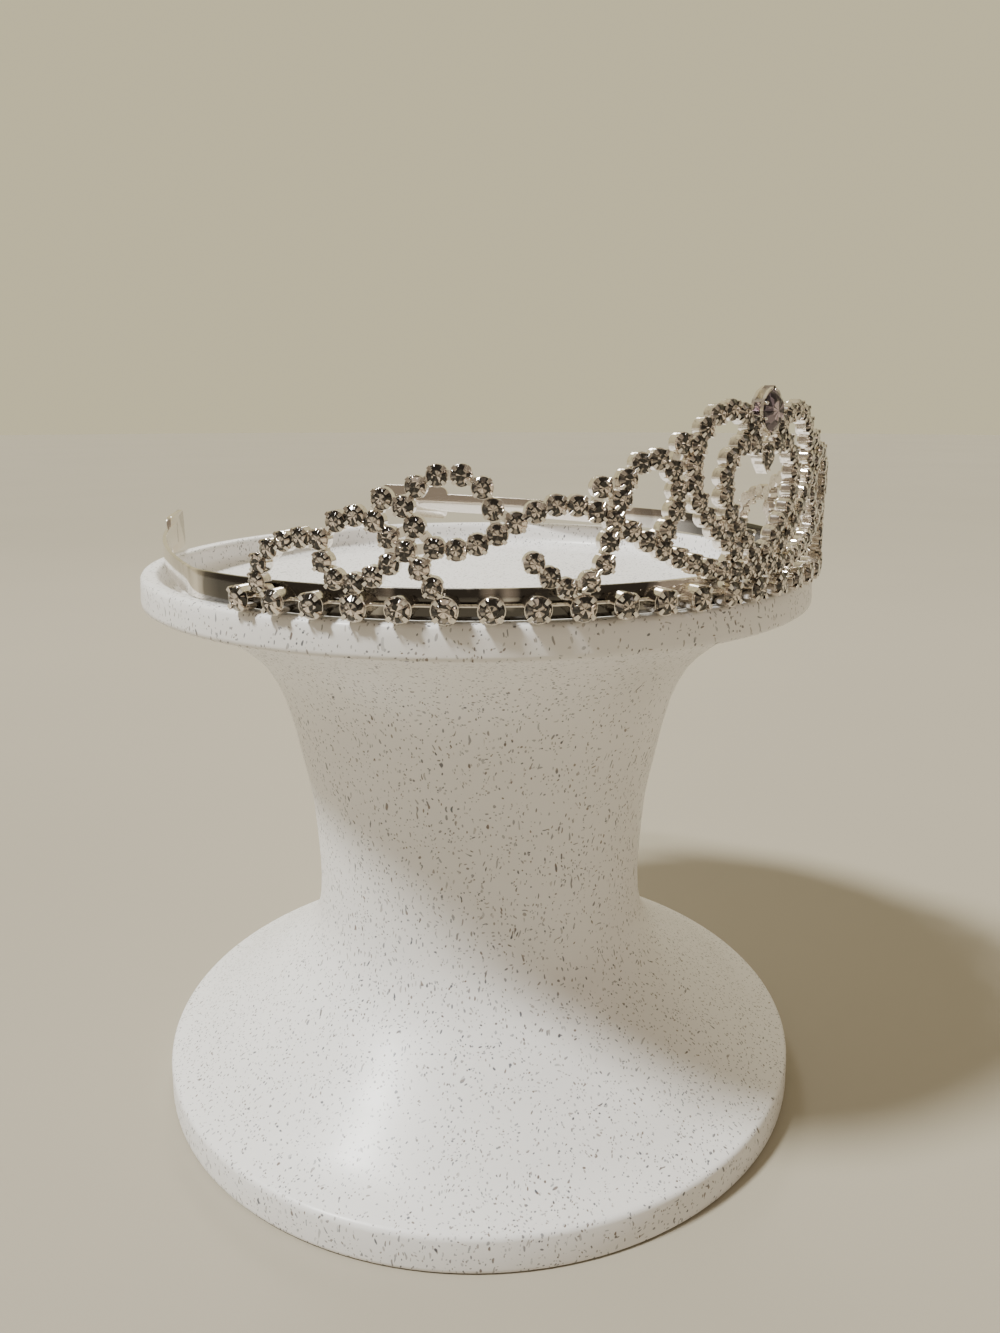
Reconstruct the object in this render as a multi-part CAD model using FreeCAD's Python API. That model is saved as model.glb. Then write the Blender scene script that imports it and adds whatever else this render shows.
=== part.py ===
import FreeCAD, Part
import math
import os

os.makedirs("parts", exist_ok=True)
V = FreeCAD.Vector

# Frame: +Z up, foot of the stand on z = 0, stand axis on X = Y = 0, heart of the diadem towards -Y.
# On the diadem, s is the arc length on a cylinder of radius WRAP_R from the heart's middle
# (positive towards +X) and h is the height above BAND_Z.

# Stand
FOOT_R = 72.9           # radius of the foot on the table
FOOT_LIP = 6.6          # height of the upright edge of the foot
RIM_R = 70.0            # outer radius of the rim
RIM_IN_R = 66.4         # inner radius of the rim
RIM_Z = 117.8           # top of the rim
TRAY_Z = 112.0          # floor of the tray
RIM_ROUND = 1.0         # rounding of the rim's top edges

# Outside of the neck, from the foot up to the underside of the tray
NECK = [                # r, z
    (71.9, 7.8),
    (66.0, 10.4),
    (59.6, 15.0),
    (53.0, 19.6),
    (47.0, 24.6),
    (41.6, 29.8),
    (38.6, 35.0),
    (37.3, 40.5),
    (37.0, 50.0),
    (38.0, 65.0),
    (40.0, 76.0),
    (42.9, 89.0),
    (46.9, 97.5),
    (53.0, 103.6),
    (60.5, 108.4),
    (68.4, 111.4),
]

# Band
WRAP_R = 70.0           # cylinder that s is measured on
BAND_Z = 117.9          # height that h is measured from
BAND_R = 67.4           # middle of the band round the front
BAND_T = 0.8            # thickness
BAND_H = 5.0            # height
BAND_LOW = 0.05         # lower edge above BAND_Z
FRONT_HALF = 86.0       # half angle of the round front, degrees
BEND_R = 20.0           # bend behind the front
BEND_TURN = 18.0        # degrees
ARM_R = 211.0           # the arms are nearly straight
ARM_TURN = 22.8         # degrees
PLATE_L = 20.0          # taller end of each arm
PLATE_H = 9.0
PLATE_ROUND = 2.0
RISE_FROM = 76.0        # the right arm climbs from this angle on, degrees
RISE = 3.0              # climb at its tip

# Row of larger stones along the band
ROW_HALF = 13           # cups on either side of the middle one
ROW_PITCH = 7.02
ROW_H = 2.2             # height of their centres
WIRE_R = 0.35           # wire between them
WIRE_AT_R = 68.6
WIRE_H = 2.6

# Round cups and stones: radii and places along the outward axis
BIG = {"cup": 2.1, "back": 67.6, "floor": 69.25, "front": 71.2,
       "pocket": 1.9, "girdle": 1.78, "girdle_at": 70.6, "table": 1.05, "crown": 0.65, "pavilion": 1.2}
SMALL = {"cup": 1.45, "back": 68.9, "floor": 69.9, "front": 71.2,
         "pocket": 1.27, "girdle": 1.15, "girdle_at": 70.75, "table": 0.7, "crown": 0.45, "pavilion": 0.72}
LINK_R = (69.05, 69.75)  # bars between cups lie in the floors
LINK_W = 1.0
LINK_REACH = 4.35        # cups nearer than this are joined
LINK_INSET = 0.55        # bars start this far from a cup's centre

# Chains of small cups on the left half, each mirrored to the right.
# Cups are spread evenly along a smooth curve through the points.
CHAINS = [              # node, cups, points (s, h)
    ("scroll_stones", 6, [(-87.2, 5.2), (-86.6, 8.3), (-83.4, 11.2), (-75.4, 12.5)]),
    ("scroll_stones", 4, [(-72.5, 15.3), (-69.4, 16.2), (-66.4, 15.4), (-64.4, 13.1)]),
    ("step_stones", 6, [(-75.0, 9.1), (-73.3, 6.6), (-70.1, 6.0), (-66.8, 7.3), (-61.8, 11.1)]),
    ("step_stones", 2, [(-59.8, 8.4), (-57.9, 5.7)]),
    ("outer_loop_stones", 7, [(-60.4, 14.7), (-62.0, 17.6), (-58.9, 21.4), (-54.2, 22.4), (-48.9, 17.3)]),
    ("outer_loop_stones", 1, [(-65.2, 18.8)]),
    ("wave_stones", 19, [(-57.5, 11.6), (-51.0, 12.2), (-44.8, 15.7), (-38.9, 17.9), (-32.7, 16.4),
                         (-24.4, 11.7), (-15.4, 7.7), (-9.0, 6.1), (-3.2, 5.9)]),
    ("branch_stones", 3, [(-42.8, 9.3), (-40.4, 7.1), (-37.7, 5.3)]),
    ("branch_stones", 3, [(-34.1, 6.2), (-31.7, 8.9), (-31.2, 12.2)]),
    ("inner_loop_stones", 8, [(-29.3, 18.3), (-28.3, 21.7), (-24.4, 24.4), (-20.7, 22.5), (-19.7, 16.9),
                              (-21.3, 13.5)]),
    ("inner_loop_stones", 1, [(-32.6, 20.3)]),
    ("inner_loop_stones", 1, [(-19.1, 26.5)]),
    ("heart_edge_stones", 13, [(-6.7, 9.2), (-11.3, 12.9), (-16.0, 18.6), (-16.1, 26.2), (-12.2, 30.8),
                               (-7.6, 31.2), (-4.3, 29.0)]),
    ("heart_stones", 9, [(-1.95, 8.6), (-5.8, 12.6), (-9.5, 17.2), (-9.2, 23.4), (-6.6, 25.9),
                         (-3.4, 26.0)]),
]
MIDDLE = ("heart_stones", 0.0, 6.0)     # node, s, h of the heart's tip

# Pointed oval stone over the heart and small drop inside it
NAVETTE = {"h": 31.25, "half_l": 3.25, "half_w": 2.5, "floor": 69.5, "front": 71.3,
           "girdle_at": 71.35, "table": 0.62, "crown": 0.9, "pavilion": 1.5}
DROP = {"h": 23.8, "half_l": 1.9, "half_w": 1.5, "floor": 69.5, "front": 70.9,
        "girdle_at": 70.95, "table": 0.58, "crown": 0.55, "pavilion": 1.1}
SETTING_BACK = 68.9
SETTING_GAP = 0.15
SETTING_WALL = 0.35
SETTING_LINKS = [       # s, h of a point in a setting and s, h of a cup on the left
    (-1.0, 29.6, -4.3, 29.0),
    (-0.8, 24.2, -3.4, 26.0),
]
WINDOW_W = 1.0          # openings in the side of the navette's setting
WINDOW_H = 0.9
WINDOW_PITCH = 1.7


def on_diadem(shape, s, h):
    """Turn a shape made with X along the band, Y up and Z outwards to its place."""
    shape = shape.copy()
    shape.translate(V(0, BAND_Z + h, 0))
    shape.rotate(V(0, 0, 0), V(1, 0, 0), 90)
    shape.rotate(V(0, 0, 0), V(0, 0, 1), math.degrees(s / WRAP_R))
    return shape


def polygon_face(points, z):
    corners = [V(x, y, z) for x, y in points]
    return Part.Face(Part.makePolygon(corners + corners[:1]))


def scaled(points, factor):
    return [(x * factor, y * factor) for x, y in points]


def cut_stone(outline, girdle_at, table, crown, pavilion):
    """Faceted stone: flat table, one ring of crown facets, pavilion facets down to the culet."""
    top = scaled(outline, table)
    faces = [polygon_face(top, girdle_at + crown)]
    culet = V(0, 0, girdle_at - pavilion)
    for i, (x, y) in enumerate(outline):
        nx, ny = outline[(i + 1) % len(outline)]
        tx, ty = top[i]
        ux, uy = top[(i + 1) % len(outline)]
        a = V(x, y, girdle_at)
        b = V(nx, ny, girdle_at)
        c = V(ux, uy, girdle_at + crown)
        d = V(tx, ty, girdle_at + crown)
        faces.append(Part.Face(Part.makePolygon([a, b, c, d, a])))
        faces.append(Part.Face(Part.makePolygon([a, b, culet, a])))
    solid = Part.Solid(Part.makeShell(faces))
    if solid.Volume < 0:
        solid.reverse()
    return solid


def round_stone(size):
    step = math.pi / 4
    outline = [(size["girdle"] * math.cos(step * (i + 0.5)), size["girdle"] * math.sin(step * (i + 0.5)))
               for i in range(8)]
    return cut_stone(outline, size["girdle_at"], size["table"] / size["girdle"], size["crown"],
                     size["pavilion"])


def round_cup(size):
    cup = Part.makeCylinder(size["cup"], size["front"] - size["back"], V(0, 0, size["back"]))
    pocket = Part.makeCylinder(size["pocket"], size["front"] - size["floor"] + 1, V(0, 0, size["floor"]))
    return cup.cut(pocket)


def spread(points, count):
    """Places at even spacing along a smooth curve through the points."""
    if count == 1:
        return list(points)
    curve = Part.BSplineCurve()
    curve.interpolate([V(s, h, 0) for s, h in points])
    edge = curve.toShape()
    return [(p.x, p.y) for p in edge.discretize(Number=count)]


def mirrored(places):
    return [(-s, h) for s, h in places]


def link(a, b, inset_a, inset_b):
    """Flat bar between two places, set back from each end."""
    ds = (b[0] - a[0]) * LINK_R[0] / WRAP_R
    dh = b[1] - a[1]
    length = math.hypot(ds, dh)
    bar = Part.makeBox(length - inset_a - inset_b, LINK_W, LINK_R[1] - LINK_R[0],
                       V(inset_a - length / 2, -LINK_W / 2, LINK_R[0]))
    bar.rotate(V(0, 0, 0), V(0, 0, 1), math.degrees(math.atan2(dh, ds)))
    return on_diadem(bar, (a[0] + b[0]) / 2, (a[1] + b[1]) / 2)


def near(a, b, reach):
    return math.hypot(a[0] - b[0], a[1] - b[1]) < reach


def sector(centre, radius, start, turn, low, high):
    """Upright strip along an arc, BAND_T thick."""
    outer = Part.makeCylinder(radius + BAND_T / 2, high - low, V(0, 0, 0), V(0, 0, 1), turn)
    inner = Part.makeCylinder(radius - BAND_T / 2, high - low + 2, V(0, 0, -1))
    strip = outer.cut(inner)
    strip.rotate(V(0, 0, 0), V(0, 0, 1), start)
    strip.translate(V(centre.x, centre.y, low))
    return strip


def arm(low):
    """Bend, nearly straight run and taller rounded end of the right arm, before its climb."""
    start = FRONT_HALF - 90.0
    out = V(math.cos(math.radians(start)), math.sin(math.radians(start)), 0)
    bend_centre = out * (BAND_R - BEND_R)
    bent = start + BEND_TURN
    out = V(math.cos(math.radians(bent)), math.sin(math.radians(bent)), 0)
    arm_centre = bend_centre + out * (BEND_R - ARM_R)
    bend = sector(bend_centre, BEND_R, start, BEND_TURN, low, low + BAND_H)
    plate_turn = math.degrees(PLATE_L / ARM_R)
    run = sector(arm_centre, ARM_R, bent, ARM_TURN - plate_turn / 2, low, low + BAND_H)
    plate_low = low + (BAND_H - PLATE_H) / 2
    middle = bent + ARM_TURN - plate_turn / 2
    plate = sector(arm_centre, ARM_R, middle - plate_turn, 2 * plate_turn, plate_low, plate_low + PLATE_H)
    blank = Part.makeBox(10, PLATE_L, PLATE_H, V(ARM_R - 5, -PLATE_L / 2, plate_low))
    blank = blank.makeFillet(PLATE_ROUND, [e for e in blank.Edges if abs(e.Length - 10) < 0.01])
    blank.rotate(V(0, 0, 0), V(0, 0, 1), middle)
    blank.translate(arm_centre)
    return bend.fuse([run, plate.common(blank)])


def band():
    low = BAND_Z + BAND_LOW
    flat = RISE_FROM - 90.0
    front = sector(V(0, 0, 0), BAND_R, -FRONT_HALF - 90.0, FRONT_HALF + RISE_FROM, low, low + BAND_H)
    left = arm(low).mirror(V(0, 0, 0), V(1, 0, 0))
    right = sector(V(0, 0, 0), BAND_R, flat, FRONT_HALF - RISE_FROM, low, low + BAND_H)
    right = right.fuse(arm(low)).removeSplitter()
    # the climb is a shear in the direction of Y, nothing at the line where it starts
    y_start = BAND_R * math.sin(math.radians(flat))
    slope = RISE / (right.BoundBox.YMax - y_start)
    shear = FreeCAD.Matrix()
    shear.A32 = slope
    shear.A34 = -slope * y_start
    right = right.transformGeometry(shear)
    return [front, left, right]


def pointed_oval(size, count=6):
    """Corners of a pointed oval, tips up and down."""
    a = size["half_l"]
    b = size["half_w"]
    radius = (a * a + b * b) / (2 * b)
    half = math.asin(a / radius)
    right = [(radius * math.cos(t) - radius + b, radius * math.sin(t))
             for t in [half * (2 * i / count - 1) for i in range(count + 1)]]
    left = [(-x, y) for x, y in right[::-1]]
    return right[:-1] + left[:-1]


def teardrop(size, count=8):
    """Corners of a drop with its point down."""
    b = size["half_w"]
    lift = size["half_l"] - b
    reach = size["half_l"] + lift
    start = -math.asin(b / reach)
    sweep = math.pi - 2 * start
    arc = [(b * math.cos(start + sweep * i / count), lift + b * math.sin(start + sweep * i / count))
           for i in range(count + 1)]
    return arc + [(0.0, -size["half_l"])]


def setting(outline, size):
    grow = 1 + SETTING_GAP / size["half_w"]
    outer = 1 + (SETTING_GAP + SETTING_WALL) / size["half_w"]
    body = polygon_face(scaled(outline, outer), SETTING_BACK).extrude(V(0, 0, size["front"] - SETTING_BACK))
    room = polygon_face(scaled(outline, grow), size["floor"]).extrude(V(0, 0, size["front"]))
    return body.cut(room)


def windows(size):
    """Tools that pierce the side walls of the pointed oval's setting."""
    z = (size["floor"] + size["front"]) / 2 - WINDOW_H / 2 + 0.1
    length = 2 * size["half_w"] + 4
    return [Part.makeBox(length, WINDOW_W, WINDOW_H, V(-length / 2, y - WINDOW_W / 2, z))
            for y in (-WINDOW_PITCH / 2, WINDOW_PITCH / 2)]


def stand():
    rim_low = V(RIM_R + 0.3, 0, NECK[-1][1] + 0.9)
    curve = Part.BSplineCurve()
    curve.interpolate([V(r, 0, z) for r, z in NECK])
    lip_top = V(FOOT_R - 0.2, 0, FOOT_LIP)
    lip_mid = V(FOOT_R - 0.4, 0, FOOT_LIP + 0.8)
    neck_low = V(NECK[0][0], 0, NECK[0][1])
    neck_top = V(NECK[-1][0], 0, NECK[-1][1])
    rim_mid = V(RIM_R - 0.2, 0, NECK[-1][1] + 0.2)
    path = [V(RIM_R, 0, RIM_Z), V(RIM_IN_R, 0, RIM_Z), V(RIM_IN_R, 0, TRAY_Z), V(0, 0, TRAY_Z),
            V(0, 0, 0), V(FOOT_R, 0, 0)]
    edges = [Part.makeLine(V(FOOT_R, 0, 0), lip_top),
             Part.Arc(lip_top, lip_mid, neck_low).toShape(),
             curve.toShape(),
             Part.Arc(neck_top, rim_mid, rim_low).toShape(),
             Part.makeLine(rim_low, path[0])]
    edges += [Part.makeLine(a, b) for a, b in zip(path, path[1:])]
    solid = Part.Face(Part.Wire(Part.__sortEdges__(edges))).revolve(V(0, 0, 0), V(0, 0, 1), 360)
    tops = [e for e in solid.Edges if e.Curve.TypeId == "Part::GeomCircle"
            and abs(e.BoundBox.ZMin - RIM_Z) < 0.01 and e.Curve.Radius > RIM_IN_R - 1]
    solid = solid.makeFillet(RIM_ROUND, tops)
    floor_edge = [e for e in solid.Edges if e.Curve.TypeId == "Part::GeomCircle"
                  and abs(e.BoundBox.ZMax - TRAY_Z) < 0.01 and e.Curve.Radius > RIM_IN_R - 1]
    return solid.makeFillet(2 * RIM_ROUND, floor_edge)


def save(name, shape):
    shape.exportStep(f"parts/{name}.step")
    print(name, len(shape.Solids), shape.isValid(), round(shape.Volume, 1))


# Places of the small cups, left and right
groups = {}
for node, count, points in CHAINS:
    places = spread(points, count)
    groups.setdefault(node, []).extend(places)
left_cups = [place for places in groups.values() for place in places]
middle_cup = (MIDDLE[1], MIDDLE[2])
small_cups = left_cups + mirrored(left_cups) + [middle_cup]
row = [(k * ROW_PITCH, ROW_H) for k in range(-ROW_HALF, ROW_HALF + 1)]

# Stones
save("pedestal", stand())
big_stone = round_stone(BIG)
for i, (s, h) in enumerate(row):
    save(f"row_stone_{i + 1:02d}", on_diadem(big_stone, s, h))
small_stone = round_stone(SMALL)
for node, places in groups.items():
    if node == MIDDLE[0]:
        sides = [(node, places + mirrored(places) + [middle_cup])]
    else:
        sides = [(node + "_left", places), (node + "_right", mirrored(places))]
    for name, side in sides:
        save(name, Part.makeCompound([on_diadem(small_stone, s, h) for s, h in side]))
navette_outline = pointed_oval(NAVETTE)
drop_outline = teardrop(DROP)
for name, outline, size in (("navette_stone", navette_outline, NAVETTE), ("drop_stone", drop_outline, DROP)):
    stone = cut_stone(outline, size["girdle_at"], size["table"], size["crown"], size["pavilion"])
    save(name, on_diadem(stone, 0, size["h"]))

# Metal: band, cups, wire, bars and settings soldered into one
metal = band()
big_cup = round_cup(BIG)
metal += [on_diadem(big_cup, s, h) for s, h in row]
for (a, h), (b, _) in zip(row, row[1:]):
    gap = (b - a) * WIRE_AT_R / WRAP_R
    wire = Part.makeCylinder(WIRE_R, gap - 2 * LINK_INSET, V(LINK_INSET - gap / 2, 0, WIRE_AT_R), V(1, 0, 0))
    metal.append(on_diadem(wire, (a + b) / 2, WIRE_H))
small_cup = round_cup(SMALL)
metal += [on_diadem(small_cup, s, h) for s, h in small_cups]
cups = small_cups + row
for i, a in enumerate(small_cups):
    for b in cups[i + 1:]:
        if near(a, b, LINK_REACH):
            metal.append(link(a, b, LINK_INSET, LINK_INSET))
for s, h, cup_s, cup_h in SETTING_LINKS:
    metal.append(link((s, h), (cup_s, cup_h), 0, LINK_INSET))
    metal.append(link((-s, h), (-cup_s, cup_h), 0, LINK_INSET))
navette_setting = setting(navette_outline, NAVETTE).cut(windows(NAVETTE))
metal.append(on_diadem(navette_setting, 0, NAVETTE["h"]))
metal.append(on_diadem(setting(drop_outline, DROP), 0, DROP["h"]))
save("frame", metal[0].fuse(metal[1:]))
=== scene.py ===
import math

import bmesh
import bpy
from mathutils import Matrix, Vector


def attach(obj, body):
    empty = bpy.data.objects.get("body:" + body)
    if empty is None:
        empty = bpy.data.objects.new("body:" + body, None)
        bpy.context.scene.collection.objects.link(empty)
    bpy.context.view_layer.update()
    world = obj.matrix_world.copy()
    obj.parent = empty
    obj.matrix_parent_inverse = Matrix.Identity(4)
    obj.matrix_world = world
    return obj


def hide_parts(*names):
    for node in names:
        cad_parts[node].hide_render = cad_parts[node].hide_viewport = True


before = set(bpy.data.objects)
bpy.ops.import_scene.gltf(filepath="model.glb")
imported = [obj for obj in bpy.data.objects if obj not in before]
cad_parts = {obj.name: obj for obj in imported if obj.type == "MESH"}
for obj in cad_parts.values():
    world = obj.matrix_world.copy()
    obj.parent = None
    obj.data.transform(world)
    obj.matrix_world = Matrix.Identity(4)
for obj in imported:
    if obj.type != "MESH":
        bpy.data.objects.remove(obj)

bl_info = {
    "name": "Rhinestone diadem on a stand",
    "version": (1, 0, 0),
    "blender": (4, 5, 0),
    "location": "3D View > Sidebar > Diadem",
    "description": "Dresses a rhinestone diadem and its speckled pedestal stand",
    "category": "Object",
}

# Metres, +Z up, the heart of the diadem towards -Y. s is the arc length from the heart's middle on
# the cylinder of radius WRAP_R, h the height above BAND_Z. The lists and outlines below are in
# millimetres, and back, floor, front and girdle_at in them are distances from the upright axis.
MM = 0.001
QUARTER = math.pi / 2
WELD = 0.002 * MM
WRAP_R = 70.0 * MM
BAND_Z = 117.9 * MM

BAND_R = 67.4 * MM
BAND_T = 0.8 * MM
BAND_H = 5.0 * MM
BAND_LOW = 0.05 * MM
BAND_CORNER = math.radians(50)
FRONT_HALF = math.radians(86.0)
FRONT_STEPS = 60
BEND_R = 20.0 * MM
BEND_TURN = math.radians(18.0)
BEND_STEPS = 10
ARM_R = 211.0 * MM
ARM_TURN = math.radians(22.8)
ARM_STEPS = 24
PLATE_L = 20.0 * MM
PLATE_H = 9.0 * MM
PLATE_T = 1.0 * MM
PLATE_ROUND = 2.0 * MM
RISE_FROM = math.radians(76.0)
RISE = 3.0 * MM

ROW_PITCH = 7.02 * MM
ROW_HALF = 13
ROW_H = 2.2 * MM
ROW_PRONG = 1.25
WIRE_R = 0.3 * MM
WIRE_SIDES = 8
WIRE_AT_R = 69.0 * MM
WIRE_H = 2.6 * MM
WIRE_STEPS = 120
LINK_REACH = 4.35 * MM
LINK_AT_R = 69.6 * MM
LINK_T = 1.3 * MM
LINK_W = 1.5 * MM

BIG = {"cup": 2.2, "wall": 0.18, "back": 67.6, "floor": 69.25, "front": 70.9, "sides": 20,
       "girdle": 2.04, "girdle_at": 70.95, "crown": 0.75, "pavilion": 1.4, "prong": 0.8}
SMALL = {"cup": 1.72, "wall": 0.12, "back": 68.9, "floor": 69.9, "front": 70.85, "sides": 16,
         "girdle": 1.63, "girdle_at": 70.9, "crown": 0.55, "pavilion": 0.9, "prong": 0.6}
CUP_TAPER = 0.9         # radius of a cup's back over that of its lip
CUP_FLARE = 0.18        # share of the depth over which it widens
PRONG_T = 0.24 * MM
PRONG_INSET = 0.02 * MM
PRONG_REACH = 0.34      # how far the tip leans in, over the cup's radius
PRONG_RISE = 0.12 * MM
PRONG_TIP = (0.6, 0.7, 1.0)

# Rings of a cut stone: its flat top and the star facets over the girdle's radius, the star's
# height over the crown's, and the girdle's thickness
BRILLIANT = {"top": 0.56, "star": 0.79, "star_h": 0.62, "edge": 0.06}
FANCY_CUT = {"top": 0.6, "star": 0.84, "star_h": 0.6, "edge": 0.05}

NAVETTE = {"h": 31.25, "half_l": 3.25, "half_w": 2.5, "floor": 69.5, "front": 71.3,
           "girdle_at": 71.35, "crown": 1.0, "pavilion": 1.6, "collar": 0.55,
           "prongs": ((0, -3.25), (0, 3.25), (2.35, 1.2), (2.35, -1.2), (-2.35, 1.2),
                      (-2.35, -1.2))}
DROP = {"h": 23.8, "half_l": 1.9, "half_w": 1.5, "floor": 69.5, "front": 70.9,
        "girdle_at": 70.95, "crown": 0.6, "pavilion": 1.2, "collar": 1.4,
        "prongs": ((0, -1.9), (1.3, 1.2), (-1.3, 1.2))}
FANCY_SPREAD = 1.07     # the stone lies a little over its setting's edge
SETTING_BACK = 68.9
SETTING_GAP = 0.15
SETTING_WALL = 0.35
COLLAR_POCKET = 0.8
POST_T = 0.455
POST_W = 0.525
POST_IN = 0.95
BEAD_R = 0.34
BEAD_OVER = 0.22
SETTING_LINKS = ((-1.0, 29.6, -4.3, 29.0), (-0.8, 24.2, -3.4, 26.0))    # s, h to the cup's s, h

SMALL_STONE_NODES = ["heart_stones"] + [
    f"{name}_stones_{side}" for name in ("scroll", "step", "outer_loop", "wave", "branch",
                                         "inner_loop", "heart_edge") for side in ("left", "right")]

STAND_STEPS = 144
STAND_OUTLINE = [       # r, z, from the middle of the tray over the rim and down to the foot's underside
    (0.0, 112.0), (30.0, 112.0), (58.0, 112.0), (63.4, 112.0), (65.0, 112.3), (66.1, 113.2),
    (66.4, 114.6), (66.4, 116.6), (66.65, 117.4), (67.3, 117.8), (69.0, 117.8), (69.7, 117.55),
    (70.02, 117.0), (70.12, 115.6), (70.28, 112.9), (70.2, 112.1), (69.6, 111.65), (68.4, 111.4),
    (64.6, 110.2), (60.5, 108.4), (56.6, 106.2), (53.0, 103.6), (49.7, 100.7), (46.9, 97.5),
    (44.6, 93.4), (42.9, 89.0), (41.3, 82.7), (40.0, 76.0), (38.9, 70.6), (38.0, 65.0),
    (37.4, 57.6), (37.0, 50.0), (37.0, 45.2), (37.3, 40.5), (37.75, 37.8), (38.6, 35.0),
    (39.9, 32.4), (41.6, 29.8), (44.2, 27.1), (47.0, 24.6), (50.0, 22.1), (53.0, 19.6),
    (56.3, 17.2), (59.6, 15.0), (62.8, 12.6), (66.0, 10.4), (68.9, 9.1), (71.7, 7.9),
    (72.15, 7.68), (72.45, 7.35), (72.62, 7.0), (72.7, 6.6), (72.86, 1.0), (72.78, 0.35),
    (72.5, 0.0), (40.0, 0.0), (0.0, 0.0),
]

# Angles up to which neighbouring faces are shaded as one surface; stones and bars are not
FLAT = 0
STAND_SMOOTH = math.radians(50)
BAND_SMOOTH = math.radians(40)
CUP_SMOOTH = math.radians(35)

# Each layer of specks: cells to the metre, stretch, a speck's radius in its cell, the share of
# cells that hold one, and a shift that sets the layers apart
SPECK_LAYERS = ((900.0, (1.0, 1.0, 0.40), 0.23, 0.80, 0.0),
                (1250.0, (1.0, 1.0, 0.50), 0.25, 0.80, 0.37),
                (1050.0, (0.50, 1.0, 1.0), 0.21, 0.70, 0.71))
BROWN_SPECK = (0.16, 0.115, 0.09, 1)

# The studio is pale behind the diadem, darker overhead and on the camera's side
PALE_SIDE = (0.66, 0.71, 0.25)
PALE_SPAN = (0.0, 0.6)
STUDIO_PALE = (0.70, 0.625, 0.40, 1)
STUDIO_DARK = (0.27, 0.22, 0.165, 1)
FLOOR_TONES = ((0.37, 0.33, 0.26, 1), (0.41, 0.37, 0.29, 1))
FLOOR_R = 6.0
FLOOR_Z = -0.2 * MM
LIGHT_AIM = Vector((0, 0, 0.11))

# The camera that took the photo
EYE = (-0.1453, -0.1626, 0.1498)
HEADING = math.radians(46.97)
PITCH = math.radians(14.57)
SENSOR_H = 36.0
LENS = SENSOR_H * 1000 / 1333
NEAREST = 5 * MM

UNIT = (0.0, 1.0)
MIX_FACTOR, MIX_A, MIX_B, MIX_RESULT = 0, 6, 7, 2     # colour sockets of a Mix node
FACET_UV = "facets"


class DiademSizes(bpy.types.PropertyGroup):
    prong_height: bpy.props.FloatProperty(
        name="Prong height", description="How far the prongs stand over the cup's edge",
        default=0.5 * MM, min=0, unit="LENGTH")
    band_edge: bpy.props.FloatProperty(
        name="Band edge", description="Rounding of the band's edges", default=0.12 * MM, min=0,
        unit="LENGTH")


class DiademColours(bpy.types.PropertyGroup):
    plating: bpy.props.FloatVectorProperty(
        name="Plating", description="Colour of the bright plating", subtype="COLOR", size=3,
        default=(0.87, 0.82, 0.76), min=0, max=1)
    stone: bpy.props.FloatVectorProperty(
        name="Stone", description="Colour of the foil-backed stones", subtype="COLOR", size=3,
        default=(0.96, 0.84, 0.74), min=0, max=1)
    lilac: bpy.props.FloatVectorProperty(
        name="Lilac", description="Cast of the pointed oval stone", subtype="COLOR", size=3,
        default=(0.70, 0.56, 0.66), min=0, max=1)
    stand: bpy.props.FloatVectorProperty(
        name="Stand", description="Colour of the stand's plastic", subtype="COLOR", size=3,
        default=(0.88, 0.86, 0.84), min=0, max=1)
    speck: bpy.props.FloatVectorProperty(
        name="Specks", description="Colour of the dark specks", subtype="COLOR", size=3,
        default=(0.09, 0.095, 0.115), min=0, max=1)


class Wire:
    """A socket whose arithmetic adds Math nodes to its tree."""

    def __init__(self, nodes, socket):
        self.nodes = nodes
        self.socket = socket

    def math(self, operation, *others):
        return self.nodes.node("ShaderNodeMath", {"operation": operation},
                               dict(enumerate((self,) + others)))

    def __add__(self, other):
        return self.math("ADD", other)

    def __sub__(self, other):
        return self.math("SUBTRACT", other)

    def __rsub__(self, other):
        return self.nodes.node("ShaderNodeMath", {"operation": "SUBTRACT"}, {0: other, 1: self})

    def __mul__(self, other):
        return self.math("MULTIPLY", other)

    def __gt__(self, other):
        return self.math("GREATER_THAN", other)

    def __lt__(self, other):
        return self.math("LESS_THAN", other)

    __radd__ = __add__
    __rmul__ = __mul__

    def also(self, output):
        """Another output of the same node."""
        return Wire(self.nodes, self.socket.node.outputs[output])


class Nodes:
    """Adds nodes to a tree and hands out their outputs as wires."""

    def __init__(self, tree):
        self.tree = tree

    def node(self, kind, settings=None, inputs=None, output=0):
        node = self.tree.nodes.new(kind)
        for key, value in (settings or {}).items():
            setattr(node, key, value)
        for key, value in (inputs or {}).items():
            if isinstance(value, Wire):
                self.tree.links.new(value.socket, node.inputs[key])
            else:
                node.inputs[key].default_value = value
        return Wire(self, node.outputs[output])

    def fade(self, value, before, after=UNIT):
        """Carry a value from one span to another and hold it at the ends."""
        return self.node("ShaderNodeMapRange", {"clamp": True},
                         {"Value": value, "From Min": before[0], "From Max": before[1],
                          "To Min": after[0], "To Max": after[1]})

    def mix(self, factor, a, b):
        return self.node("ShaderNodeMix", {"data_type": "RGBA"},
                         {MIX_FACTOR: factor, MIX_A: a, MIX_B: b}, MIX_RESULT)


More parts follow.
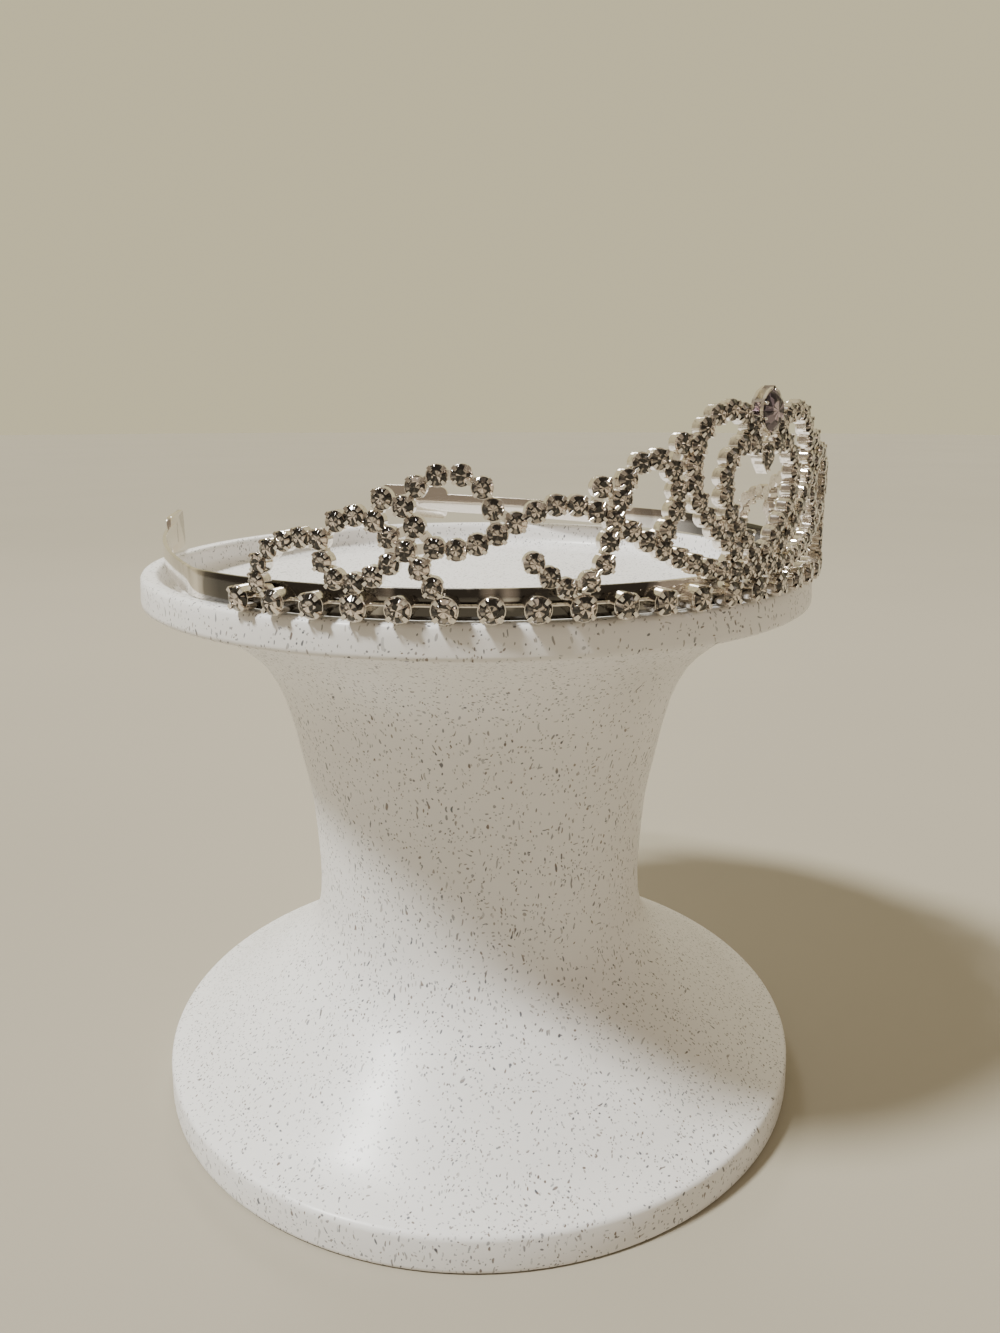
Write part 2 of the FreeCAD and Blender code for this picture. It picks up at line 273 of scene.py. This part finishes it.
class Finish(Nodes):
    """A material built node by node."""

    def __init__(self, name, **constants):
        self.material = bpy.data.materials.new(name)
        self.material.use_nodes = True
        super().__init__(self.material.node_tree)
        self.shader = self.tree.nodes["Principled BSDF"]
        for socket, value in constants.items():
            self.shader.inputs[socket.replace("_", " ")].default_value = value

    def set(self, socket, wire):
        self.tree.links.new(wire.socket, self.shader.inputs[socket])

    def places(self, scale=(1, 1, 1)):
        here = self.node("ShaderNodeTexCoord", output="Object")
        return self.node("ShaderNodeMapping", inputs={"Vector": here, "Scale": scale})

    def noise(self, scale, detail=3.0, rough=0.55, stretch=(1, 1, 1)):
        return self.node("ShaderNodeTexNoise",
                         inputs={"Vector": self.places(stretch), "Scale": scale,
                                 "Detail": detail, "Roughness": rough})

    def shift(self, a, b):
        return self.node("ShaderNodeVectorMath", {"operation": "ADD"}, {0: a, 1: b})

    def bump(self, height, strength, distance):
        return self.node("ShaderNodeBump", inputs={"Strength": strength, "Distance": distance,
                                                   "Height": height})


def rgba(colour, gain=1.0):
    return tuple(channel * gain for channel in colour) + (1.0,)


def plating_finish(colours):
    """Bright plating with faint waviness, dull spots and fine scratches."""
    finish = Finish("silver_plating", Metallic=1.0)
    cloud = finish.noise(220.0)
    grime = finish.noise(1400.0, detail=2.0)
    worn = finish.fade(grime, (0.5, 0.75))
    finish.set("Base Color", finish.mix(worn, rgba(colours.plating), rgba(colours.plating, 0.62)))
    finish.set("Roughness", finish.fade(cloud, (0.3, 0.7), (0.08, 0.2)))
    finish.set("Normal", finish.bump(cloud + grime * 0.2, 0.25, 0.1 * MM))
    return finish.material


def band_finish(colours):
    """Mirror-polished strip with fine lengthwise scratches and painted dark reflections streaked along
    its front.
    """
    finish = Finish("band_polish", Metallic=1.0)
    cloud = finish.noise(85.0, stretch=(1, 1, 0.4))
    scratch = finish.noise(90.0, detail=4.0, rough=0.7, stretch=(1, 1, 60))
    where = finish.node("ShaderNodeSeparateXYZ", inputs={"Vector": finish.places()})
    # Painted reflection: dark streaks in the base colour along the front stand in for dark surroundings
    # mirrored in the band.
    front = finish.fade(where.also("Y"), (-10 * MM, 20 * MM), (1.0, 0.08))
    painted_dark_reflection = finish.fade(cloud, (0.34, 0.46)) * front
    finish.set("Base Color", finish.mix(painted_dark_reflection, rgba(colours.plating, 1.1),
                                        rgba(colours.plating, 0.12)))
    finish.set("Roughness", finish.fade(scratch, (0.35, 0.75), (0.06, 0.2)))
    finish.set("Normal", finish.bump(cloud * 0.6 + scratch * 0.1, 0.15, 0.12 * MM))
    return finish.material


def stone_finish(name, colour, dark, cuts):
    """Foil-backed cut glass with painted reflections: the back facets seen through the top are painted
    light and dark in turn in the base colour.
    """
    finish = Finish(name, Metallic=0.85, Roughness=0.05, Coat_Weight=1.0, Coat_Roughness=0.02,
                    IOR=1.55)
    uv = finish.node("ShaderNodeUVMap", {"uv_map": FACET_UV})
    split = finish.node("ShaderNodeSeparateXYZ", inputs={"Vector": uv})
    x = split - 0.5
    y = split.also("Y") - 0.5
    angle = y.math("ARCTAN2", x)
    radius = (x * x + y * y).math("SQRT")
    stone = (finish.noise(330.0, detail=1.0) * 9.0).math("FLOOR")
    sector = (angle * (cuts / math.tau) + 0.5).math("FLOOR") + stone * 7.0
    circle = (radius * 4.4).math("FLOOR")
    facet = finish.node("ShaderNodeCombineXYZ", inputs={"X": sector, "Y": circle})
    shade = finish.node("ShaderNodeTexWhiteNoise", {"noise_dimensions": "2D"}, {"Vector": facet})
    # Painted reflection: each facet is light or dark at random in the base colour, standing for lights
    # and dark surroundings mirrored in the foil.
    painted_facet_reflection = finish.fade(shade, (0.42, 0.9))
    finish.set("Base Color", finish.mix(painted_facet_reflection, rgba(colour, dark), rgba(colour)))
    tilt = (angle * cuts).math("SINE")
    height = tilt * radius * 0.5 + shade * 0.2
    finish.set("Normal", finish.bump(height, 0.8, 0.35 * MM))
    return finish.material


def stand_finish(colours):
    """Off-white satin plastic with small dark slivers scattered in it."""
    finish = Finish("speckled_plastic", Coat_Weight=0.1, Coat_Roughness=0.2,
                    Specular_IOR_Level=0.45)
    cloud = finish.noise(28.0, detail=4.0)
    body = finish.mix(finish.fade(cloud, (0.3, 0.7)), rgba(colours.stand),
                      rgba(colours.stand, 0.95))
    warp = finish.node("ShaderNodeVectorMath", {"operation": "SCALE"},
                       {0: finish.noise(160.0, detail=2.0).also("Color"), "Scale": 4 * MM})
    crowd = finish.fade(finish.noise(55.0, detail=2.0), (0.35, 0.65), (-0.12, 0.12))
    specks = None
    for scale, stretch, size, share, apart in SPECK_LAYERS:
        here = finish.shift(finish.shift(finish.places(stretch), warp), (apart, apart, apart))
        cell = finish.node("ShaderNodeTexVoronoi", inputs={"Vector": here, "Scale": scale})
        rolls = finish.node("ShaderNodeSeparateColor", inputs={"Color": cell.also("Color")})
        depth = finish.fade(rolls.also("Green"), UNIT, (0.35, 1.0))
        spot = finish.fade(cell, (size, size * 0.75)) * (rolls + crowd > 1 - share) * depth
        specks = specks.math("MAXIMUM", spot) if specks else spot
    tone = finish.fade(finish.noise(700.0, detail=1.0), (0.45, 0.6))
    dark = finish.mix(tone, rgba(colours.speck), BROWN_SPECK)
    finish.set("Base Color", finish.mix(specks, body, dark))
    finish.set("Roughness", finish.fade(cloud + specks * 0.2, (0.3, 0.8), (0.36, 0.5)))
    finish.set("Normal", finish.bump(finish.noise(2600.0, detail=2.0), 0.12, 0.05 * MM))
    return finish.material


def floor_finish():
    finish = Finish("pale_floor", Roughness=0.6)
    finish.set("Base Color", finish.mix(finish.noise(3.0), *FLOOR_TONES))
    return finish.material


def outward_mesh(bm, name):
    """Turn a bmesh into a mesh whose faces point outwards."""
    bmesh.ops.recalc_face_normals(bm, faces=bm.faces)
    mesh = bpy.data.meshes.new(name)
    bm.to_mesh(mesh)
    bm.free()
    return mesh


def finished(bm, name, material, smooth_angle, *nodes):
    """Turn a bmesh into a piece that rides on the root body and stands for its CAD nodes."""
    for face in bm.faces:
        face.smooth = smooth_angle > FLAT
    mesh = outward_mesh(bm, name)
    mesh.materials.append(material)
    piece = bpy.data.objects.new(name, mesh)
    bpy.context.collection.objects.link(piece)
    if smooth_angle > FLAT:
        mesh.set_sharp_from_angle(angle=smooth_angle)
    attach(piece, "root")
    if nodes:
        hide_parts(*nodes)


def place(s, h):
    """From local X along the band, Y up and Z outwards to the diadem's cylinder."""
    return (Matrix.Rotation(s / WRAP_R, 4, "Z") @ Matrix.Rotation(QUARTER, 4, "X")
            @ Matrix.Translation((0, BAND_Z + h, 0)))


def heading_vector(angle):
    return Vector((math.cos(angle), math.sin(angle), 0))


def with_surface(verts):
    """Vertices together with the edges and faces between them."""
    faces = {f for v in verts for f in v.link_faces}
    edges = {e for f in faces for e in f.edges}
    return list(verts) + list(edges) + list(faces)


def verts_since(bm, before):
    return [v for v in bm.verts if v not in before]


def verts_in(geometry):
    return [v for v in geometry if isinstance(v, bmesh.types.BMVert)]


def raise_face(bm, face, offset):
    """Extrude one face straight along Z and return its far face."""
    geometry = bmesh.ops.extrude_face_region(bm, geom=[face])["geom"]
    bmesh.ops.translate(bm, verts=verts_in(geometry), vec=(0, 0, offset))
    return next(f for f in geometry if isinstance(f, bmesh.types.BMFace))


def stamp(bm, pattern, matrices):
    """Copies of a pattern mesh, each at its own place."""
    before = set(bm.verts)
    bm.from_mesh(pattern)
    source = verts_since(bm, before)
    geometry = with_surface(source)
    for matrix in matrices:
        copy = bmesh.ops.duplicate(bm, geom=geometry)["geom"]
        bmesh.ops.transform(bm, matrix=matrix, verts=verts_in(copy))
    bmesh.ops.delete(bm, geom=source, context="VERTS")


def bent_prong(bm, size, height, turn):
    """Upright tab at a cup's edge with its tip laid over the stone."""
    radius = size["cup"] * MM
    prong = bmesh.ops.create_cube(bm, size=1.0)["verts"]
    bmesh.ops.scale(bm, verts=prong, vec=(PRONG_T, size["prong"] * MM, height * 2))
    top = [v for v in prong if v.co.z > 0]
    cap = next(f for f in top[0].link_faces if all(v in top for v in f.verts))
    tip = list(raise_face(bm, cap, PRONG_RISE).verts)
    bmesh.ops.translate(bm, verts=tip, vec=(-PRONG_REACH * radius, 0, 0))
    bmesh.ops.scale(bm, verts=tip, vec=PRONG_TIP,
                    space=Matrix.Translation(-sum((v.co for v in tip), Vector()) / len(tip)))
    whole = prong + tip
    bmesh.ops.translate(bm, verts=whole, vec=(radius - PRONG_INSET, 0, size["front"] * MM))
    bmesh.ops.rotate(bm, verts=whole, cent=(0, 0, 0), matrix=Matrix.Rotation(turn, 3, "Z"))


def cup_pattern(size, prong_height):
    """Round cup with a back, a thin wall and four prongs bent over the stone."""
    bm = bmesh.new()
    depth = (size["front"] - size["back"]) * MM
    bmesh.ops.create_circle(bm, cap_ends=True, segments=size["sides"],
                            radius=size["cup"] * MM * CUP_TAPER)
    bmesh.ops.translate(bm, verts=bm.verts, vec=(0, 0, size["back"] * MM))
    lower = raise_face(bm, bm.faces[:][0], depth * CUP_FLARE)
    bmesh.ops.scale(bm, verts=lower.verts, vec=(1 / CUP_TAPER, 1 / CUP_TAPER, 1))
    lip = raise_face(bm, lower, depth * (1 - CUP_FLARE))
    bmesh.ops.inset_region(bm, faces=[lip], thickness=size["wall"] * MM)
    raise_face(bm, lip, (size["floor"] - size["front"]) * MM)
    for corner in range(4):
        bent_prong(bm, size, prong_height, (corner + 0.5) * QUARTER)
    return outward_mesh(bm, "cup_pattern")


def gem_from_rings(bm, rings, culet):
    """Convex cut stone spanned by rings of corners and a culet."""
    for corners, z in rings:
        for x, y in corners:
            bm.verts.new((x * MM, y * MM, z * MM))
    bm.verts.new((0, 0, culet * MM))
    hull = bmesh.ops.convex_hull(bm, input=bm.verts)
    bmesh.ops.delete(bm, geom=verts_in(hull["geom_interior"]), context="VERTS")
    bmesh.ops.dissolve_limit(bm, angle_limit=math.radians(1.0), verts=bm.verts, edges=bm.edges)
    facets = bm.loops.layers.uv.new(FACET_UV)
    across = 2 * max(v.co.xy.length for v in bm.verts)
    for face in bm.faces:
        for loop in face.loops:
            loop[facets].uv = loop.vert.co.xy / across + Vector((0.5, 0.5))


def ring(count, radius, turn=0.0):
    return [(radius * math.cos(math.tau * (i + turn) / count),
             radius * math.sin(math.tau * (i + turn) / count)) for i in range(count)]


def gem_pattern(size):
    """Brilliant: octagonal top, star, kite and girdle facets, pointed back."""
    bm = bmesh.new()
    r = size["girdle"]
    z = size["girdle_at"]
    cut = BRILLIANT
    gem_from_rings(bm, [(ring(8, r * cut["top"]), z + size["crown"]),
                        (ring(8, r * cut["star"], 0.5), z + size["crown"] * cut["star_h"]),
                        (ring(16, r), z + cut["edge"]), (ring(16, r), z)], z - size["pavilion"])
    return outward_mesh(bm, "gem_pattern")


def pointed_oval(size, count=6):
    """Two arcs that meet in a point above and below."""
    a = size["half_l"]
    b = size["half_w"]
    radius = (a * a + b * b) / (2 * b)
    half = math.asin(a / radius)
    right = [(radius * math.cos(t) - radius + b, radius * math.sin(t))
             for t in [half * (2 * i / count - 1) for i in range(count + 1)]]
    return right[:-1] + [(-x, y) for x, y in right[::-1]][:-1]


def teardrop(size, count=8):
    """Round above, drawn down to a point."""
    b = size["half_w"]
    lift = size["half_l"] - b
    start = -math.asin(b / (size["half_l"] + lift))
    sweep = math.pi - 2 * start
    turns = [start + sweep * i / count for i in range(count + 1)]
    return [(b * math.cos(t), lift + b * math.sin(t)) for t in turns] + [(0.0, -size["half_l"])]


def grown(outline, factor):
    return [(x * factor, y * factor) for x, y in outline]


def fancy_gem(bm, outline, size):
    """Cut stone over any convex outline, in its place on the diadem."""
    z = size["girdle_at"]
    cut = FANCY_CUT
    middles = [((x + u) / 2, (y + v) / 2) for (x, y), (u, v) in zip(outline,
                                                                    outline[1:] + outline[:1])]
    gem_from_rings(bm, [(grown(outline, cut["top"]), z + size["crown"]),
                        (grown(middles, cut["star"]), z + size["crown"] * cut["star_h"]),
                        (outline, z + cut["edge"]), (outline, z)], z - size["pavilion"])
    bmesh.ops.transform(bm, matrix=place(0, size["h"] * MM), verts=bm.verts)


def slab(bm, outline, low, high):
    """Closed prism over an outline; returns its far face."""
    face = bm.faces.new([bm.verts.new((x * MM, y * MM, low * MM)) for x, y in outline])
    return raise_face(bm, face, (high - low) * MM)


def fancy_setting(bm, outline, size):
    """Setting with a back plate, posts, a collar round the stone and beads that hold it."""
    before = set(bm.verts)
    outer = grown(outline, 1 + (SETTING_GAP + SETTING_WALL) / size["half_w"])
    slab(bm, outer, SETTING_BACK, size["floor"])
    middle = (size["floor"] + size["front"]) / 2
    collar = slab(bm, outer, size["front"] - size["collar"], size["front"])
    bmesh.ops.inset_region(bm, faces=[collar], thickness=SETTING_WALL * MM)
    raise_face(bm, collar, -size["collar"] * COLLAR_POCKET * MM)
    for x, y in grown(outer[::2], POST_IN):
        post = bmesh.ops.create_cube(bm, size=1.0)["verts"]
        bmesh.ops.scale(bm, verts=post, vec=(POST_T * MM, POST_W * MM,
                                             (size["front"] - size["floor"]) * MM))
        bmesh.ops.translate(bm, verts=post, vec=(x * MM, y * MM, middle * MM))
    for x, y in size["prongs"]:
        bead = bmesh.ops.create_uvsphere(bm, u_segments=10, v_segments=6,
                                         radius=BEAD_R * MM)["verts"]
        bmesh.ops.translate(bm, verts=bead,
                            vec=(x * MM, y * MM, (size["girdle_at"] + BEAD_OVER) * MM))
    bmesh.ops.transform(bm, matrix=place(0, size["h"] * MM), verts=verts_since(bm, before))


def stone_places(node):
    """s and h of each loose stone in a CAD node."""
    bm = bmesh.new()
    bm.from_mesh(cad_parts[node].data)
    bmesh.ops.remove_doubles(bm, verts=bm.verts, dist=0.01 * MM)
    waiting = set(bm.verts)
    places = []
    while waiting:
        stone = {waiting.pop()}
        fringe = stone
        while fringe:
            fringe = {e.other_vert(v) for v in fringe for e in v.link_edges} - stone
            stone = stone | fringe
        waiting -= stone
        middle = sum((v.co for v in stone), Vector()) / len(stone)
        places.append((WRAP_R * math.atan2(middle.x, -middle.y), middle.z - BAND_Z))
    bm.free()
    return sorted(places)


def arc_strip(bm, geometry, centre, angle, steps):
    """Carry a cross-section round an upright axis and return its far end."""
    return bmesh.ops.spin(bm, geom=geometry, cent=centre, axis=(0, 0, 1), angle=angle,
                          steps=steps, use_merge=False, use_duplicate=False)["geom_last"]


def end_plate(bm, arm_centre, angle, middle_z):
    """Taller plate with rounded corners at the end of an arm."""
    before = set(bm.verts)
    plate = bmesh.ops.create_grid(bm, x_segments=1, y_segments=1, size=0.5)["verts"]
    bmesh.ops.scale(bm, verts=plate, vec=(PLATE_L, PLATE_H, 1))
    bmesh.ops.bevel(bm, geom=plate, offset=PLATE_ROUND, offset_type="OFFSET", segments=6,
                    profile=0.5, affect="VERTICES", material=-1)
    plate = verts_since(bm, before)
    plate += raise_face(bm, plate[0].link_faces[0], PLATE_T).verts
    out = heading_vector(angle)
    along = Vector((-out.y, out.x, 0))
    at = arm_centre + out * (ARM_R - BAND_T / 2) + Vector((0, 0, middle_z))
    turn = Matrix((along, Vector((0, 0, 1)), out)).transposed().to_4x4()
    bmesh.ops.transform(bm, matrix=Matrix.Translation(at) @ turn, verts=plate)


def half_band(bm, climb):
    """Round front, bend and arm of the right half; climb lifts the arm towards its tip."""
    before = set(bm.verts)
    middle_z = BAND_Z + BAND_LOW + BAND_H / 2
    section = bmesh.ops.create_grid(bm, x_segments=1, y_segments=1, size=0.5)["verts"]
    bmesh.ops.scale(bm, verts=section, vec=(BAND_T, BAND_H, 1))
    bmesh.ops.rotate(bm, verts=section, cent=(0, 0, 0), matrix=Matrix.Rotation(QUARTER, 3, "X"))
    bmesh.ops.translate(bm, verts=section, vec=(BAND_R, 0, middle_z))
    bmesh.ops.rotate(bm, verts=section, cent=(0, 0, 0), matrix=Matrix.Rotation(-QUARTER, 3, "Z"))
    front_end = FRONT_HALF - QUARTER
    bend_end = front_end + BEND_TURN
    bend_centre = heading_vector(front_end) * (BAND_R - BEND_R)
    arm_centre = bend_centre + heading_vector(bend_end) * (BEND_R - ARM_R)
    to_plate = ARM_TURN - PLATE_L / ARM_R / 2
    geometry = arc_strip(bm, with_surface(section), (0, 0, 0), FRONT_HALF, FRONT_STEPS)
    geometry = arc_strip(bm, geometry, bend_centre, BEND_TURN, BEND_STEPS)
    arc_strip(bm, geometry, arm_centre, to_plate, ARM_STEPS)
    end_plate(bm, arm_centre, bend_end + to_plate, middle_z)
    made = verts_since(bm, before)
    start = BAND_R * math.sin(RISE_FROM - QUARTER)
    length = max(v.co.y for v in made) - start
    for v in made:
        v.co.z += climb * max(0.0, (v.co.y - start) / length)
    return made


def whole_band(bm, edge):
    """Both halves joined at the front, the right arm rising, with rounded edges."""
    left = half_band(bm, 0.0)
    bmesh.ops.scale(bm, verts=left, vec=(-1, 1, 1))
    half_band(bm, RISE)
    bmesh.ops.remove_doubles(bm, verts=bm.verts, dist=WELD)
    inside = [f for f in bm.faces if all(abs(v.co.x) < WELD for v in f.verts)]
    bmesh.ops.delete(bm, geom=inside, context="FACES_ONLY")
    bmesh.ops.recalc_face_normals(bm, faces=bm.faces)
    sharp = [e for e in bm.edges if len(e.link_faces) == 2 and e.calc_face_angle() > BAND_CORNER]
    bmesh.ops.bevel(bm, geom=sharp, offset=edge, offset_type="OFFSET", segments=2, profile=0.5,
                    affect="EDGES", material=-1, clamp_overlap=True)


def row_wire(bm):
    """Wire through the row of larger cups."""
    reach = ROW_HALF * ROW_PITCH / WRAP_R
    wire = bmesh.ops.create_circle(bm, cap_ends=True, segments=WIRE_SIDES, radius=WIRE_R)["verts"]
    bmesh.ops.transform(bm, verts=wire, matrix=Matrix.Rotation(-QUARTER - reach, 4, "Z")
                        @ Matrix.Translation((WIRE_AT_R, 0, BAND_Z + WIRE_H))
                        @ Matrix.Rotation(QUARTER, 4, "X"))
    arc_strip(bm, with_surface(wire), (0, 0, 0), 2 * reach, WIRE_STEPS)


def solder_bars(bm, small, row):
    """Short bars between neighbouring cups and out to the two settings."""
    pairs = [(a, b) for i, a in enumerate(small) for b in (small + row)[i + 1:]
             if math.dist(a, b) < LINK_REACH]
    pairs += [((side * s * MM, h * MM), (side * cup_s * MM, cup_h * MM))
              for s, h, cup_s, cup_h in SETTING_LINKS for side in (1, -1)]
    for (s, h), (t, g) in pairs:
        bar = bmesh.ops.create_cube(bm, size=1.0)["verts"]
        bmesh.ops.scale(bm, verts=bar, vec=(math.hypot(t - s, g - h), LINK_W, LINK_T))
        bmesh.ops.rotate(bm, verts=bar, cent=(0, 0, 0),
                         matrix=Matrix.Rotation(math.atan2(g - h, t - s), 3, "Z"))
        bmesh.ops.translate(bm, verts=bar, vec=(0, 0, LINK_AT_R))
        bmesh.ops.transform(bm, verts=bar, matrix=place((s + t) / 2, (h + g) / 2))


def add_light(name, kind, energy, at, colour, **extent):
    light = bpy.data.lights.new(name, kind)
    light.energy = energy
    light.color = colour
    for key, value in extent.items():
        setattr(light, key, value)
    lamp = bpy.data.objects.new(name, light)
    lamp.location = at
    lamp.rotation_euler = (LIGHT_AIM - Vector(at)).to_track_quat("-Z", "Y").to_euler()
    bpy.context.collection.objects.link(lamp)


class DIADEM_OT_stand(bpy.types.Operator):
    """Make the pedestal: foot, waisted neck and tray with a low rim"""
    bl_idname = "diadem.stand"
    bl_label = "Stand"

    def execute(self, context):
        bm = bmesh.new()
        outline = [bm.verts.new((r * MM, 0, z * MM)) for r, z in STAND_OUTLINE]
        edges = [bm.edges.new(pair) for pair in zip(outline, outline[1:])]
        bmesh.ops.spin(bm, geom=outline + edges, cent=(0, 0, 0), axis=(0, 0, 1), angle=math.tau,
                       steps=STAND_STEPS, use_merge=True, use_duplicate=False)
        bmesh.ops.remove_doubles(bm, verts=bm.verts, dist=WELD)
        finished(bm, "stand_body", stand_finish(context.scene.diadem_colours), STAND_SMOOTH,
                 "pedestal")
        return {"FINISHED"}


class DIADEM_OT_metal(bpy.types.Operator):
    """Make the band, arms, cups with prongs, wire, bars and settings"""
    bl_idname = "diadem.metal"
    bl_label = "Band and cups"

    def execute(self, context):
        sizes = context.scene.diadem_sizes
        colours = context.scene.diadem_colours
        row = [(k * ROW_PITCH, ROW_H) for k in range(-ROW_HALF, ROW_HALF + 1)]
        small = [at for node in SMALL_STONE_NODES for at in stone_places(node)]

        bm = bmesh.new()
        whole_band(bm, sizes.band_edge)
        finished(bm, "band_and_arms", band_finish(colours), BAND_SMOOTH, "frame")

        plating = plating_finish(colours)
        bm = bmesh.new()
        stamp(bm, cup_pattern(BIG, sizes.prong_height * ROW_PRONG), [place(s, h) for s, h in row])
        row_wire(bm)
        finished(bm, "row_cups", plating, CUP_SMOOTH)

        bm = bmesh.new()
        stamp(bm, cup_pattern(SMALL, sizes.prong_height), [place(s, h) for s, h in small])
        finished(bm, "small_cups", plating, CUP_SMOOTH)

        bm = bmesh.new()
        solder_bars(bm, small, row)
        finished(bm, "solder_bars", plating, FLAT)

        bm = bmesh.new()
        fancy_setting(bm, pointed_oval(NAVETTE), NAVETTE)
        fancy_setting(bm, teardrop(DROP), DROP)
        finished(bm, "fancy_settings", plating, CUP_SMOOTH)
        return {"FINISHED"}


class DIADEM_OT_stones(bpy.types.Operator):
    """Cut the stones: the row along the band, the chains, the pointed oval and the drop"""
    bl_idname = "diadem.stones"
    bl_label = "Stones"

    def execute(self, context):
        colours = context.scene.diadem_colours
        # dark sets the base colour of the facets that carry painted dark reflections
        clear = stone_finish("foiled_glass", colours.stone, dark=0.03, cuts=8)
        lilac = stone_finish("lilac_glass", colours.lilac, dark=0.08, cuts=10)
        pattern = gem_pattern(BIG)
        for k in range(-ROW_HALF, ROW_HALF + 1):
            bm = bmesh.new()
            stamp(bm, pattern, [place(k * ROW_PITCH, ROW_H)])
            number = f"{k + ROW_HALF + 1:02d}"
            finished(bm, f"row_gem_{number}", clear, FLAT, f"row_stone_{number}")
        pattern = gem_pattern(SMALL)
        for node in SMALL_STONE_NODES:
            bm = bmesh.new()
            stamp(bm, pattern, [place(s, h) for s, h in stone_places(node)])
            finished(bm, node.replace("stones", "gems"), clear, FLAT, node)
        for name, outline, size, glass in (("navette", pointed_oval(NAVETTE), NAVETTE, lilac),
                                           ("drop", teardrop(DROP), DROP, clear)):
            bm = bmesh.new()
            fancy_gem(bm, grown(outline, FANCY_SPREAD), size)
            finished(bm, f"{name}_gem", glass, FLAT, f"{name}_stone")
        return {"FINISHED"}


class DIADEM_OT_stage(bpy.types.Operator):
    """Set the pale floor, soft lights and the camera"""
    bl_idname = "diadem.stage"
    bl_label = "Stage"

    def execute(self, context):
        scene = context.scene
        bm = bmesh.new()
        bmesh.ops.create_circle(bm, cap_ends=True, segments=96, radius=FLOOR_R)
        mesh = bpy.data.meshes.new("floor")
        bm.to_mesh(mesh)
        bm.free()
        mesh.materials.append(floor_finish())
        floor = bpy.data.objects.new("floor", mesh)
        floor.location.z = FLOOR_Z
        bpy.context.collection.objects.link(floor)

        world = bpy.data.worlds.new("studio")
        world.use_nodes = True
        scene.world = world
        studio = Nodes(world.node_tree)
        way = studio.node("ShaderNodeTexCoord", output="Generated")
        facing = studio.node("ShaderNodeVectorMath", {"operation": "DOT_PRODUCT"},
                             {0: way, 1: PALE_SIDE}, output="Value")
        shade = studio.mix(studio.fade(facing, PALE_SPAN), STUDIO_DARK, STUDIO_PALE)
        backdrop = world.node_tree.nodes["Background"]
        backdrop.inputs["Strength"].default_value = 1.0
        world.node_tree.links.new(shade.socket, backdrop.inputs["Color"])

        add_light("key_light", "SUN", 5.0, (-0.52, 0.18, 0.93), (0.98, 1.0, 0.98),
                  angle=math.radians(8.0))
        add_light("fill_light", "AREA", 1.0, (0.45, -0.85, 0.60), (1.0, 0.87, 0.74), size=0.30)
        add_light("back_light", "AREA", 1.5, (0.40, 0.60, 0.60), (1.0, 0.97, 0.92), size=0.20)

        camera = bpy.data.cameras.new("camera")
        camera.sensor_fit = "VERTICAL"
        camera.sensor_height = SENSOR_H
        camera.lens = LENS
        camera.clip_start = NEAREST
        eye = bpy.data.objects.new("camera", camera)
        eye.location = EYE
        look = heading_vector(HEADING) * math.cos(PITCH) - Vector((0, 0, math.sin(PITCH)))
        eye.rotation_euler = look.to_track_quat("-Z", "Y").to_euler()
        bpy.context.collection.objects.link(eye)
        scene.camera = eye
        return {"FINISHED"}


class DIADEM_PT_panel(bpy.types.Panel):
    """Lists the pieces of the diadem and its stand"""
    bl_label = "Diadem"
    bl_idname = "DIADEM_PT_panel"
    bl_space_type = "VIEW_3D"
    bl_region_type = "UI"
    bl_category = "Diadem"

    def draw(self, context):
        layout = self.layout
        for group in (context.scene.diadem_sizes, context.scene.diadem_colours):
            for name in group.__annotations__:
                layout.prop(group, name)
        for operator in OPERATORS:
            layout.operator(operator.bl_idname)


OPERATORS = (DIADEM_OT_stand, DIADEM_OT_metal, DIADEM_OT_stones, DIADEM_OT_stage)
CLASSES = (DiademSizes, DiademColours) + OPERATORS + (DIADEM_PT_panel,)


def register():
    for cls in CLASSES:
        bpy.utils.register_class(cls)
    bpy.types.Scene.diadem_sizes = bpy.props.PointerProperty(type=DiademSizes)
    bpy.types.Scene.diadem_colours = bpy.props.PointerProperty(type=DiademColours)


def unregister():
    del bpy.types.Scene.diadem_sizes
    del bpy.types.Scene.diadem_colours
    for cls in reversed(CLASSES):
        bpy.utils.unregister_class(cls)


def main():
    register()
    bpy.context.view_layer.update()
    bpy.ops.diadem.stand()
    bpy.ops.diadem.metal()
    bpy.ops.diadem.stones()
    bpy.ops.diadem.stage()


if __name__ == "__main__":
    main()
